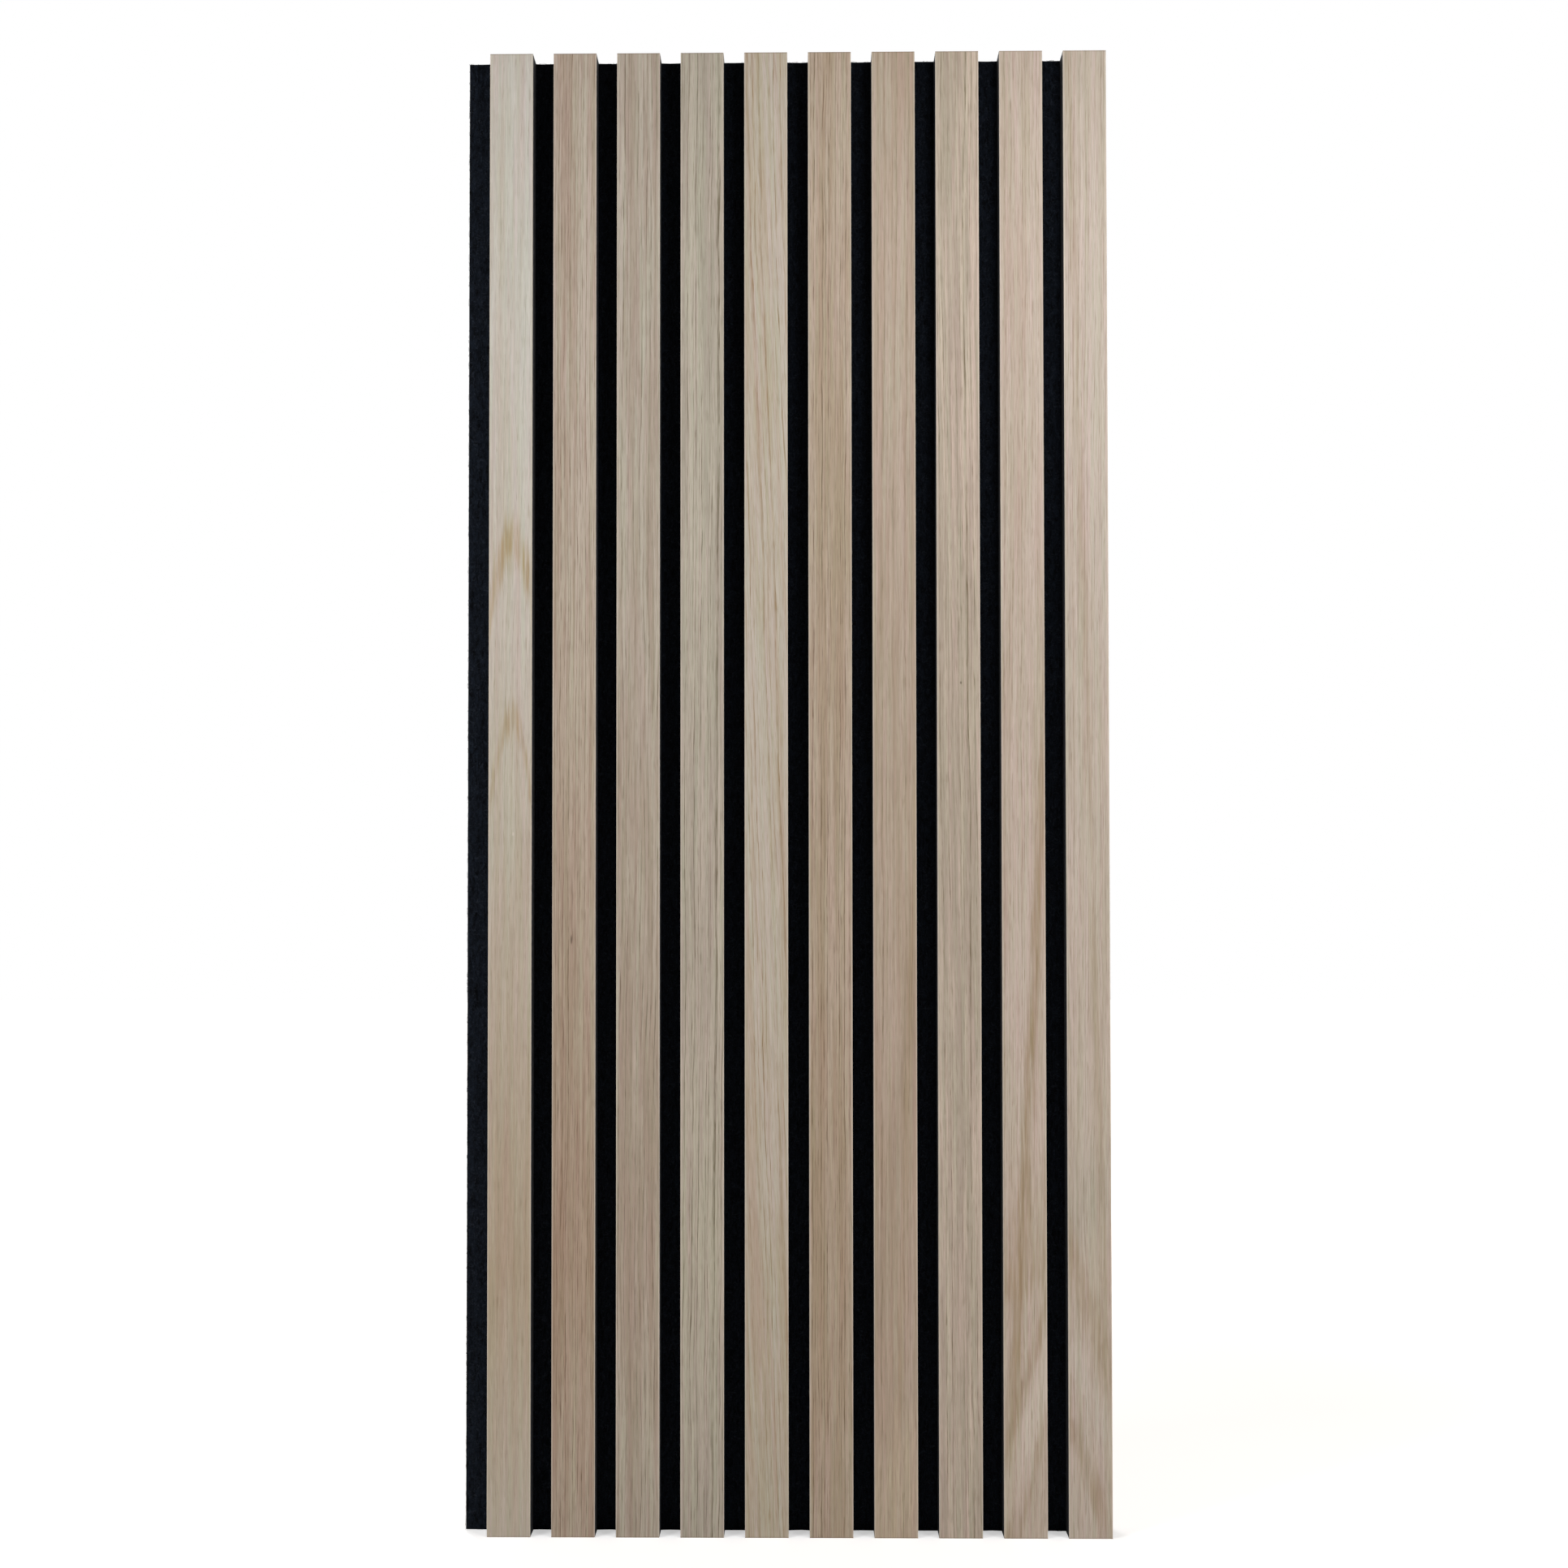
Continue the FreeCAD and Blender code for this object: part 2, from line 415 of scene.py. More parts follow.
@dataclass(frozen=True)
class OakVeneer:
    """Sliced oak under a pale matt lacquer: soft sheen, dark pore lines and slow drifts of tone.

    Sizes are in millimetres. Oak's pores are about 0.3 mm wide; they are drawn about 0.8 mm wide, so that
    they still show in a picture of the whole panel. A range is the span of a noise's values over which
    its effect sets in, and a gain is what that effect runs from and to.
    """

    # The slat's face: its half sizes, the paler rims painted along its long edges as their highlight, and the
    # darker rims at its sawn ends
    half_width: float = 13.5
    half_length: float = 463.5
    edge_width: float = 0.9
    sawn_width: float = 0.8
    rim_strength: float = 0.8
    # Painted highlight: a paler rim along both long edges of the face, where the eased edges catch the light
    painted_edge_highlight: str = "#CFC3B2"
    # A darker rim along both ends of the face
    sawn: str = "#7A6A57"

    # Streaks along the grain, by their width and length
    fibre: Streaks = Streaks(0.45, 26.0, detail=4.0, shift=1)
    pores: Streaks = Streaks(0.40, 12.0, detail=1.0, shift=2)
    bands: Streaks = Streaks(8.0, 380.0, detail=2.0, shift=3)
    patches: Streaks = Streaks(1.5, 46.0, detail=2.0, shift=4)
    sway: Streaks = Streaks(45.0, 230.0, detail=2.0, shift=5)
    wiggle: Streaks = Streaks(9.0, 55.0, detail=3.5, shift=6)
    tear: Streaks = Streaks(1.3, 40.0, detail=3.0, shift=7)
    stripes: Streaks = Streaks(2.4, 90.0, detail=2.0, shift=8)
    wander: Streaks = Streaks(4.0, 60.0, detail=2.0, shift=9)
    hue: Streaks = Streaks(2.2, 120.0, detail=2.0, shift=10)

    # Slow drifts of tone and hue, and the fine fibres' light and shade
    drift_range: Span = (0.80, 1.20)
    hue_range: Span = (0.35, 0.65)
    rosy: str = "#FFF9FA"
    olive: str = "#FAFFF8"
    fibre_gain: Span = (0.88, 1.12)

    # The browner foot: where it starts and is full, in half lengths, and what is left at the very end, where
    # its fade paints the light that the floor throws up
    brown: str = "#B18214"
    foot_start: float = 0.58
    foot_full: float = -0.65
    foot_left_in_painted_bounce: float = 0.5

    # Growth rings: how they stray, how unevenly they grew, and the lines of pores that draw them
    wiggle_reach: float = 1.0
    wander_reach: float = 0.9
    heart_depth: float = 24.0
    log_taper: float = 0.012
    growth_years: float = 2.3
    growth_spread: float = 1.9
    growth_seed: float = 3.7
    line_onset: float = 0.12
    line_width: float = 0.85
    faintest_line: float = 0.35
    faintness_seed: float = 11.3
    wear_range: Span = (0.38, 0.60)
    wear_gain: Span = (0.15, 1.15)

    # Single pores, and how many of them stand between the rings
    pore_range: Span = (0.53, 0.61)
    pore_strength: float = 0.50
    pores_between: float = 0.5

    # Figure and knots: where they are full, and how streaks tear and break them
    figure_core: float = 0.1
    tear_gain: float = 4.0
    stroke_range: Span = (0.38, 0.62)
    stroke_gain: Span = (0.30, 1.0)
    knot_range: Span = (0.3, 1.4)
    knot_strength: float = 0.75

    # Lacquer over brushed grain
    bump_strength: float = 0.35
    bump_depth: float = 0.12
    sheen_range: Span = (0.25, 0.75)
    roughness: Span = (0.48, 0.68)
    specular: float = 0.25

    def material(self, name: str, leaf: OakLeaf, centre: float, seed: float) -> Material:
        """Builds the material of one slat's leaf.

        Args:
            name: the material's name.
            leaf: the leaf's own colours and grain.
            centre: the slat's middle across the panel, in millimetres.
            seed: a number that sets it apart from the other leaves.

        Returns:
            The material.
        """
        material = new_material(name)
        tree = material.node_tree
        sheet = self.sheet(tree, leaf, centre, seed)
        fibre = self.fibre.draw(sheet)
        patches = self.patches.draw(sheet)
        tear = self.tear.draw(sheet)
        lines = self.lines(sheet, patches)
        shade = add_node(tree, "MapRange", (fibre, *NOISE_SPAN, *self.fibre_gain))
        edge = self.near_end(tree, sheet.across, self.half_width, self.edge_width)
        end = self.near_end(tree, sheet.along, self.half_length, self.sawn_width)
        colour = layered(
            tree, linear(leaf.ground),
            Layer(self.drift(sheet), linear(leaf.blush)),
            *[Layer(self.figure(sheet, one, tear, patches), linear(one.tint)) for one in leaf.figures],
            Layer(lines, linear(leaf.pore)),
            Layer(1.0, self.cast(sheet), Coat.GLAZE),
            Layer(self.foot(sheet), linear(self.brown), Coat.GLAZE),
            Layer(1.0, shade, Coat.GLAZE),
            *[Layer(self.knot(sheet, one), linear(one.tint)) for one in leaf.knots],
            # Painted highlight along the long edges
            Layer(edge, linear(self.painted_edge_highlight)),
            # Darker rim along both ends of the face
            Layer(end, linear(self.sawn)),
        )
        relief = add_node(tree, "Math", (lines, -1.0, fibre), operation="MULTIPLY_ADD")
        bump = add_node(
            tree, "Bump", {"Height": relief, "Strength": self.bump_strength, "Distance": self.bump_depth * MM}
        )
        rough = add_node(tree, "MapRange", (fibre, *self.sheen_range, *self.roughness))
        shader = add_node(
            tree, "BsdfPrincipled",
            {"Base Color": colour, "Roughness": rough, "Normal": bump, "Specular IOR Level": self.specular},
        )
        add_node(tree, "OutputMaterial", {"Surface": shader})
        return material

    def sheet(self, tree: Tree, leaf: OakLeaf, centre: float, seed: float) -> Sheet:
        """Finds the places on one leaf.

        Args:
            tree: the material's nodes.
            leaf: the leaf's own colours and grain.
            centre: the slat's middle across the panel, in millimetres.
            seed: a number that sets it apart from the other leaves.

        Returns:
            The leaf with its places.
        """
        panel = add_node(tree, "TexCoord", output="Object")
        face = add_node(
            tree, "Mapping",
            {"Vector": panel, "Location": (-centre, 0.0, 0.0), "Scale": Vector((1, 1, 1)) / MM},
        )
        across = add_node(tree, "SeparateXYZ", {"Vector": face}, "X")
        along = add_node(tree, "SeparateXYZ", {"Vector": face}, "Z")
        straight = Sheet(tree, leaf, seed, face, across, along, bent=across, grain=face)
        wiggle = self.wiggle.draw(straight)
        bent = add_node(tree, "Math", (wiggle, 2 * self.wiggle_reach, across), operation="MULTIPLY_ADD")
        bent = add_node(tree, "Math", (along, leaf.lean, bent), operation="MULTIPLY_ADD")
        grain = add_node(tree, "CombineXYZ", {"X": bent, "Z": along})
        return replace(straight, bent=bent, grain=grain)

    def drift(self, sheet: Sheet) -> Socket:
        """Draws the bands and stripes in which the ground drifts to its other colour.

        Args:
            sheet: the leaf.

        Returns:
            A value from 0 to 1 in the middle of a band.
        """
        bands = self.bands.draw(sheet)
        stripes = self.stripes.draw(sheet)
        both = add_node(sheet.tree, "Math", (bands, stripes), operation="ADD")
        return add_node(sheet.tree, "MapRange", (both, *self.drift_range), interpolation_type="SMOOTHSTEP")

    def cast(self, sheet: Sheet) -> Socket:
        """Draws the faint turns of hue from stripe to stripe.

        Args:
            sheet: the leaf.

        Returns:
            A nearly white colour.
        """
        hue = self.hue.draw(sheet)
        turn = add_node(sheet.tree, "MapRange", (hue, *self.hue_range))
        return layered(sheet.tree, linear(self.rosy), Layer(turn, linear(self.olive)))

    def foot(self, sheet: Sheet) -> Socket:
        """Finds how brown the leaf is at a height. Towards the very end the brown fades again, which paints
        the light that the floor throws up onto the slat.

        Args:
            sheet: the leaf.

        Returns:
            A value from 0 to the leaf's own strength.
        """
        start = self.foot_start * self.half_length
        full = self.foot_full * self.half_length
        rise = add_node(sheet.tree, "MapRange", (sheet.along, start, full, 0.0, sheet.leaf.foot))
        # Painted bounce light: the brown fades towards the very end, where the floor lights the slat from
        # below
        painted_bounce_fade = add_node(sheet.tree, "MapRange", (sheet.along, full, -self.half_length, 1.0, self.foot_left_in_painted_bounce))
        return add_node(sheet.tree, "Math", (rise, painted_bounce_fade), operation="MULTIPLY")

    def near_end(self, tree: Tree, place: Socket, half: float, width: float) -> Socket:
        """Gives a rim that sets in at its width from either end of a span and is strongest at the end."""
        away = add_node(tree, "Math", (place,), operation="ABSOLUTE")
        return add_node(tree, "MapRange", (away, half - width, half, 0.0, self.rim_strength))

    def knot(self, sheet: Sheet, knot: Knot) -> Socket:
        """Draws one small spot.

        Args:
            sheet: the leaf.
            knot: the spot.

        Returns:
            A value from 0 outside to the spot's strength in its middle.
        """
        away = add_node(
            sheet.tree, "VectorMath", (sheet.face, (knot.across, 0.0, knot.height)), operation="SUBTRACT"
        )
        scaled = add_node(
            sheet.tree, "VectorMath", (away, (1 / knot.half_width, 0.0, 1 / knot.half_length)),
            operation="MULTIPLY",
        )
        distance = add_node(sheet.tree, "VectorMath", (scaled,), "Value", operation="LENGTH")
        return add_node(
            sheet.tree, "MapRange", (distance, *self.knot_range, self.knot_strength, 0.0),
            interpolation_type="SMOOTHSTEP",
        )

    def lines(self, sheet: Sheet, patches: Socket) -> Socket:
        """Draws the dark lines: growth rings that come and go, and single pores beside them.

        Args:
            sheet: the leaf.
            patches: streaks about 0.5 along which the rings come and go.

        Returns:
            A value from 0 to 1 on the darkest lines.
        """
        tree = sheet.tree
        rings = self.rings(sheet)
        pores = self.pores.draw(sheet)
        dashes = add_node(tree, "MapRange", (pores, *self.pore_range))
        crowd = add_node(
            tree, "Math", (rings, 1 - self.pores_between, self.pores_between), operation="MULTIPLY_ADD"
        )
        dashes = add_node(tree, "Math", (dashes, crowd), operation="MULTIPLY")
        wear = add_node(tree, "MapRange", (patches, *self.wear_range, *self.wear_gain))
        worn = add_node(tree, "Math", (rings, wear), operation="MULTIPLY")
        worn = add_node(tree, "Math", (worn, sheet.leaf.line), operation="MULTIPLY")
        return add_node(
            tree, "Math", (dashes, self.pore_strength, worn), operation="MULTIPLY_ADD", use_clamp=True
        )

    def rings(self, sheet: Sheet) -> Socket:
        """Draws the pore lines where the leaf cuts the log's growth rings.

        Args:
            sheet: the leaf.

        Returns:
            A value of 1 on the darkest lines and 0 between them.
        """
        tree = sheet.tree
        leaf = sheet.leaf
        sway = self.sway.draw(sheet)
        stray = add_node(tree, "Math", (sway, 2 * leaf.sway, sheet.bent), operation="MULTIPLY_ADD")
        wander = self.wander.draw(sheet)
        stray = add_node(tree, "Math", (wander, 2 * self.wander_reach, stray), operation="MULTIPLY_ADD")
        beside = add_node(tree, "Math", (stray, leaf.cut.value + leaf.sway), operation="SUBTRACT")
        depth = add_node(
            tree, "Math", (sheet.along, self.log_taper, self.heart_depth), operation="MULTIPLY_ADD"
        )
        spot = add_node(tree, "CombineXYZ", {"X": beside, "Y": depth})
        radius = add_node(tree, "VectorMath", (spot,), "Value", operation="LENGTH")

        # Good and poor years, by which the rings grew wide or narrow
        year = add_node(
            tree, "Math", (radius, 1 / (self.growth_years * leaf.ring), sheet.seed * self.growth_seed),
            operation="MULTIPLY_ADD",
        )
        growth = add_node(tree, "TexNoise", {"W": year, "Scale": 1.0, "Detail": 1.0}, noise_dimensions="1D")
        grown = add_node(
            tree, "Math", (growth, self.growth_spread * leaf.ring, radius), operation="MULTIPLY_ADD"
        )
        count = add_node(tree, "Math", (grown, leaf.ring), operation="DIVIDE")

        # Each ring's line sets in sharply, fades towards the next ring and has a strength of its own
        number = add_node(tree, "Math", (count,), operation="FLOOR")
        mark = add_node(tree, "Math", (number, sheet.seed * self.faintness_seed), operation="ADD")
        chance = add_node(tree, "TexWhiteNoise", {"W": mark}, "Value", noise_dimensions="1D")
        weight = add_node(tree, "MapRange", (chance, 0.0, 1.0, self.faintest_line, 1.0))
        phase = add_node(tree, "Math", (count,), operation="FRACT")
        start = self.line_onset / leaf.ring
        end = self.line_width / leaf.ring
        onset = add_node(tree, "MapRange", (phase, 0.0, start), interpolation_type="SMOOTHSTEP")
        fade = add_node(tree, "MapRange", (phase, start, end, 1.0, 0.0), interpolation_type="SMOOTHSTEP")
        line = add_node(tree, "Math", (onset, fade), operation="MULTIPLY")
        return add_node(tree, "Math", (line, weight), operation="MULTIPLY")

    def figure(self, sheet: Sheet, figure: Figure, tear: Socket, stroke: Socket) -> Socket:
        """Draws one tinted band or arch.

        Args:
            sheet: the leaf.
            figure: the band.
            tear: streaks about 0.5 that tear the band's rim.
            stroke: finer streaks about 0.5 that break the band into strokes.

        Returns:
            A value from 0 to the figure's strength.
        """
        tree = sheet.tree
        aside = add_node(tree, "Math", (sheet.bent, figure.across), operation="SUBTRACT")
        slope = add_node(tree, "Math", (aside, figure.bow, -figure.lean), operation="MULTIPLY_ADD")
        above = add_node(tree, "Math", (sheet.along, figure.height), operation="SUBTRACT")
        above = add_node(tree, "Math", (aside, slope, above), operation="MULTIPLY_ADD")
        torn = add_node(tree, "Math", (tear, NOISE_MIDDLE), operation="SUBTRACT")
        above = add_node(tree, "Math", (torn, self.tear_gain * figure.jag, above), operation="MULTIPLY_ADD")
        away = add_node(tree, "Math", (above,), operation="ABSOLUTE")
        band = add_node(
            tree, "MapRange",
            (away, self.figure_core * figure.half, figure.half, figure.strength, 0.0),
            interpolation_type="SMOOTHSTEP",
        )
        strokes = add_node(tree, "MapRange", (stroke, *self.stroke_range, *self.stroke_gain))
        return add_node(tree, "Math", (band, strokes), operation="MULTIPLY")


@dataclass(frozen=True)
class BlackFibreboard:
    """Through-dyed fibreboard, sawn along its length: matt black with faint saw lines and pale fibres.

    A fleck of fibre is about 0.8 mm wide and 3.3 mm long, and a saw line about 1.1 mm wide and 83 mm long.
    """

    ground: str = "#29292A"
    fibre: str = "#434345"
    flecks_per_mm: Point = (1.2, 1.2, 0.3)
    fleck_range: Span = (0.45, 0.75)
    saw_lines_per_mm: Point = (0.9, 0.9, 0.012)
    roughness: Span = (0.65, 0.85)
    bump_strength: float = 0.3
    bump_depth: float = 0.15
    specular: float = 0.08

    def material(self, name: str) -> Material:
        """Builds the material.

        Args:
            name: the material's name.

        Returns:
            The material.
        """
        material = new_material(name)
        tree = material.node_tree
        place = add_node(tree, "TexCoord", output="Object")
        fibrous = add_node(tree, "VectorMath", (place, Vector(self.flecks_per_mm) / MM), operation="MULTIPLY")
        flecks = add_node(tree, "TexNoise", {"Vector": fibrous, "Scale": 1.0, "Detail": 4.0})
        sawn = add_node(tree, "VectorMath", (place, Vector(self.saw_lines_per_mm) / MM), operation="MULTIPLY")
        saw = add_node(tree, "TexNoise", {"Vector": sawn, "Scale": 1.0, "Detail": 3.0})
        pale = add_node(tree, "MapRange", (flecks, *self.fleck_range))
        colour = layered(tree, linear(self.ground), Layer(pale, linear(self.fibre)))
        relief = add_node(tree, "Math", (flecks, saw), operation="ADD")
        bump = add_node(
            tree, "Bump", {"Height": relief, "Strength": self.bump_strength, "Distance": self.bump_depth * MM}
        )
        rough = add_node(tree, "MapRange", (saw, *NOISE_SPAN, *self.roughness))
        shader = add_node(
            tree, "BsdfPrincipled",
            {"Base Color": colour, "Roughness": rough, "Normal": bump, "Specular IOR Level": self.specular},
        )
        add_node(tree, "OutputMaterial", {"Surface": shader})
        return material


@dataclass(frozen=True)
class NeedledFelt:
    """Needled polyester felt: deep blue-black, dull, with loose paler fibres curling over it.

    Sizes are in millimetres. The worn clouds are combed along the slats, and the curls are lines where a
    slow noise crosses its middle.
    """

    deep: str = "#0D0E10"
    worn: str = "#1C2129"
    stray: str = "#353A43"
    cloud_size: float = 1.9
    cloud_comb: Point = (1.0, 1.0, 0.3)
    cloud_range: Span = (0.32, 0.65)
    nap_size: float = 0.9
    curl_size: float = 4.5
    curl_range: Span = (0.0, 0.028)
    curl_relief: float = 0.8
    roughness: Span = (0.88, 1.0)
    bump_strength: float = 0.8
    bump_depth: float = 0.35
    specular: float = 0.01

    def material(self, name: str) -> Material:
        """Builds the material.

        Args:
            name: the material's name.

        Returns:
            The material.
        """
        material = new_material(name)
        tree = material.node_tree
        place = add_node(tree, "TexCoord", output="Object")
        face = add_node(tree, "VectorMath", (place, Vector((1, 1, 1)) / MM), operation="MULTIPLY")
        combed = add_node(tree, "VectorMath", (face, self.cloud_comb), operation="MULTIPLY")
        clouds = add_node(
            tree, "TexNoise",
            {"Vector": combed, "Scale": 1 / self.cloud_size, "Detail": 3.0, "Roughness": 0.6,
             "Distortion": 1.1},
        )
        nap = add_node(
            tree, "TexNoise", {"Vector": face, "Scale": 1 / self.nap_size, "Detail": 4.0, "Roughness": 0.7}
        )
        curls = add_node(
            tree, "TexNoise", {"Vector": face, "Scale": 1 / self.curl_size, "Detail": 2.0, "Distortion": 1.6}
        )
        off_line = add_node(tree, "Math", (curls, NOISE_MIDDLE), operation="SUBTRACT")
        off_line = add_node(tree, "Math", (off_line,), operation="ABSOLUTE")
        strays = add_node(tree, "MapRange", (off_line, *self.curl_range, 1.0, 0.0))
        strays = add_node(tree, "Math", (strays, nap), operation="MULTIPLY")
        tone = add_node(tree, "MapRange", (clouds, *self.cloud_range))
        colour = layered(
            tree, linear(self.deep), Layer(tone, linear(self.worn)), Layer(strays, linear(self.stray))
        )
        relief = add_node(tree, "Math", (strays, self.curl_relief, nap), operation="MULTIPLY_ADD")
        bump = add_node(
            tree, "Bump", {"Height": relief, "Strength": self.bump_strength, "Distance": self.bump_depth * MM}
        )
        rough = add_node(tree, "MapRange", (nap, *NOISE_SPAN, *self.roughness))
        shader = add_node(
            tree, "BsdfPrincipled",
            {"Base Color": colour, "Roughness": rough, "Normal": bump, "Specular IOR Level": self.specular},
        )
        add_node(tree, "OutputMaterial", {"Surface": shader})
        return material


@dataclass(frozen=True)
class GalvanisedWire:
    """Flat galvanised staple wire: grey zinc, dull, with drawn streaks along the crown.

    A streak is about 3.3 mm long and 0.2 mm wide.
    """

    bright: str = "#B9BCBE"
    dull: str = "#7F8386"
    streaks_per_mm: Point = (0.3, 2.0, 5.0)
    roughness: Span = (0.32, 0.5)

    def material(self, name: str) -> Material:
        """Builds the material.

        Args:
            name: the material's name.

        Returns:
            The material.
        """
        material = new_material(name)
        tree = material.node_tree
        place = add_node(tree, "TexCoord", output="Object")
        along = add_node(tree, "VectorMath", (place, Vector(self.streaks_per_mm) / MM), operation="MULTIPLY")
        drawn = add_node(tree, "TexNoise", {"Vector": along, "Scale": 1.0, "Detail": 3.0})
        colour = layered(tree, linear(self.dull), Layer(drawn, linear(self.bright)))
        rough = add_node(tree, "MapRange", (drawn, *NOISE_SPAN, *self.roughness))
        shader = add_node(tree, "BsdfPrincipled", {"Base Color": colour, "Metallic": 1.0, "Roughness": rough})
        add_node(tree, "OutputMaterial", {"Surface": shader})
        return material


@dataclass
class SlatRow:
    """The ten slats: black cores and their oak faces, which keep their own solids."""

    oak: OakVeneer = OakVeneer()
    fibreboard: BlackFibreboard = BlackFibreboard()

    def dress(self) -> list[Piece]:
        """Gives every core the fibreboard finish and every face its own leaf of oak.

        Returns:
            The cores and the faces, slat by slat.
        """
        pieces = []
        black = self.fibreboard.material("black_fibreboard")
        for number, leaf in enumerate(LEAVES, start=1):
            low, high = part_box(f"slat_veneer_{number:02d}")
            centre = (low.x + high.x) / 2 / MM
            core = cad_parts[f"slat_core_{number:02d}"]
            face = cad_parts[f"slat_veneer_{number:02d}"]
            dress(core, black)
            dress(face, self.oak.material(f"oak_veneer_{number:02d}", leaf, centre, float(number)))
            pieces += [core, face]
        return pieces


@dataclass
class StapleRows:
    """The staples on the wall side, which keep their own solids."""

    wire: GalvanisedWire = GalvanisedWire()

    def dress(self) -> list[Piece]:
        """Gives the staples their zinc finish.

        Returns:
            The staples, which are one piece.
        """
        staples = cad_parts["staples"]
        dress(staples, self.wire.material("galvanised_wire"))
        return [staples]


@dataclass(frozen=True)
class FeltPatch:
    """A rectangle of felt that shows, in metres.

    Attributes:
        corner: one of its corners.
        side: the one side from there.
        rise: the other side from there.
        share: how much of all the fibres lies on it.
    """

    corner: Vector
    side: Vector
    rise: Vector
    share: float

    def outward(self, middle: Vector) -> Vector:
        """Finds the direction out of the felt.

        Args:
            middle: the panel's middle.

        Returns:
            A direction of length one.
        """
        outward = self.side.cross(self.rise).normalized()
        centre = self.corner + self.side / 2 + self.rise / 2
        return -outward if outward.dot(centre - middle) < 0 else outward

    def nearest(self, point: Vector) -> Vector:
        """Finds the place on the rectangle that is nearest to a point.

        Args:
            point: the point, which may lie past an edge.

        Returns:
            The place.
        """
        place = self.corner.copy()
        for edge in (self.side, self.rise):
            share = min(max((point - self.corner).dot(edge) / edge.length_squared, 0.0), 1.0)
            place += edge * share
        return place


@dataclass
class FeltBoard:
    """The felt board with softened edges, staple dimples on its back and stray fibres all over it.

    Sizes are in millimetres. Each share is a part of all the fibres, and what lies within touch of a face
    or an edge counts as on it.
    """

    felt: NeedledFelt = NeedledFelt()

    # The board and the slots that the staples' crowns lie in
    edge_radius: float = 0.6
    edge_segments: int = 2
    mesh_step: float = 9.0
    crown_half: float = 5.0
    crown_half_band: float = 0.6
    dimple_reach: float = 4.0
    dimple_depth: float = 0.25
    slot_depth: float = 0.95
    wave_size: float = 14.0
    wave_depth: float = 0.3
    smooth_angle: float = 40.0
    touch: float = 0.01

    # The fibres, each a few straight runs that turn by up to its curl
    fibre_count: int = 6200
    fibre_radius: float = 0.06
    fibre_length: Span = (2.5, 6.5)
    fibre_lift: float = 0.22
    fibre_curl: float = 1.3
    fibre_runs: int = 3
    lip_share: float = 0.30
    back_share: float = 0.24
    edge_share: float = 0.04
    top_share: float = 0.06
    foot_share: float = 0.03
    gap_share: float = 0.23
    seed: int = 11

    def build(self) -> list[Piece]:
        """Models the board and its fibres and dresses both in felt.

        Returns:
            The two pieces.
        """
        board = self.board()
        fibres = self.fibres()
        finish = self.felt.material("needled_felt")
        for piece in (board, fibres):
            dress(piece, finish)
            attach(piece, BODY)
        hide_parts("felt_backing")
        return [board, fibres]

    def slat_boxes(self) -> list[tuple[Vector, Vector]]:
        """Finds the lower and the upper corner of each slat's core in metres, from left to right."""
        return [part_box(f"slat_core_{number:02d}") for number in range(1, len(LEAVES) + 1)]

    def staple_places(self) -> tuple[list[float], list[float]]:
        """Finds the staples' columns and rows from the slats and the staples' own corners.

        Returns:
            The columns' places across and the rows' places along the panel, in metres.
        """
        columns = [(low.x + high.x) / 2 for low, high in self.slat_boxes()]
        heights = sorted({round(v.co.z, 5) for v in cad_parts["staples"].data.vertices})
        rows = [(low + high) / 2 for low, high in zip(heights[::2], heights[1::2])]
        return columns, rows

    def cut_lines(self, low: float, high: float, marks: list[float]) -> list[float]:
        """Adds evenly spaced lines between the marks of one direction, a third of a step clear of them.

        Args:
            low: lower end of the board, in metres.
            high: upper end of the board, in metres.
            marks: lines that have to be there.

        Returns:
            All the lines in order.
        """
        step = self.mesh_step * MM
        count = int((high - low) / step)
        even = [low + (high - low) * index / count for index in range(1, count)]
        clear = [line for line in even if all(abs(line - mark) > step / 3 for mark in marks)]
        return sorted(marks + clear)

    def board(self) -> Piece:
        """Models the board: a block with eased edges, cut into a net, with a slot at every staple.

        Returns:
            The board.
        """
        low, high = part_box("felt_backing")
        bpy.ops.object.select_all(action="DESELECT")
        bpy.ops.mesh.primitive_cube_add(size=1.0, location=(low + high) / 2)
        board = bpy.context.object
        board.name = "felt_board"
        board.scale = high - low
        bpy.ops.object.transform_apply(location=True, rotation=True, scale=True)
        columns, rows = self.staple_places()
        reach = self.dimple_reach * MM
        half = self.crown_half * MM
        band = self.crown_half_band * MM
        across = [x + side * d for x in columns for side in (-1, 1) for d in (half, half + reach)]
        across += [edge.x for slat in self.slat_boxes() for edge in slat if high.x - edge.x > band]
        along = [z + side * d for z in rows for side in (-1, 1) for d in (band, band + reach)]
        net = (
            (Vector((1, 0, 0)), self.cut_lines(low.x, high.x, across)),
            (Vector((0, 0, 1)), self.cut_lines(low.z, high.z, along)),
        )

        bpy.ops.object.mode_set(mode="EDIT")
        bpy.ops.mesh.select_all(action="SELECT")
        bpy.ops.mesh.bevel(offset=self.edge_radius * MM, segments=self.edge_segments, affect="EDGES")
        for normal, lines in net:
            for line in lines:
                bpy.ops.mesh.select_all(action="SELECT")
                bpy.ops.mesh.bisect(plane_co=normal * line, plane_no=normal)
        self.select_crowns(board, columns, rows, high.y)
        bpy.ops.transform.translate(value=(0, -self.dimple_depth * MM, 0))
        sink = (self.slot_depth - self.dimple_depth) * MM
        bpy.ops.mesh.extrude_region_move(TRANSFORM_OT_translate={"value": (0, -sink, 0)})
        bpy.ops.object.mode_set(mode="OBJECT")
        self.roughen(board)
        return board

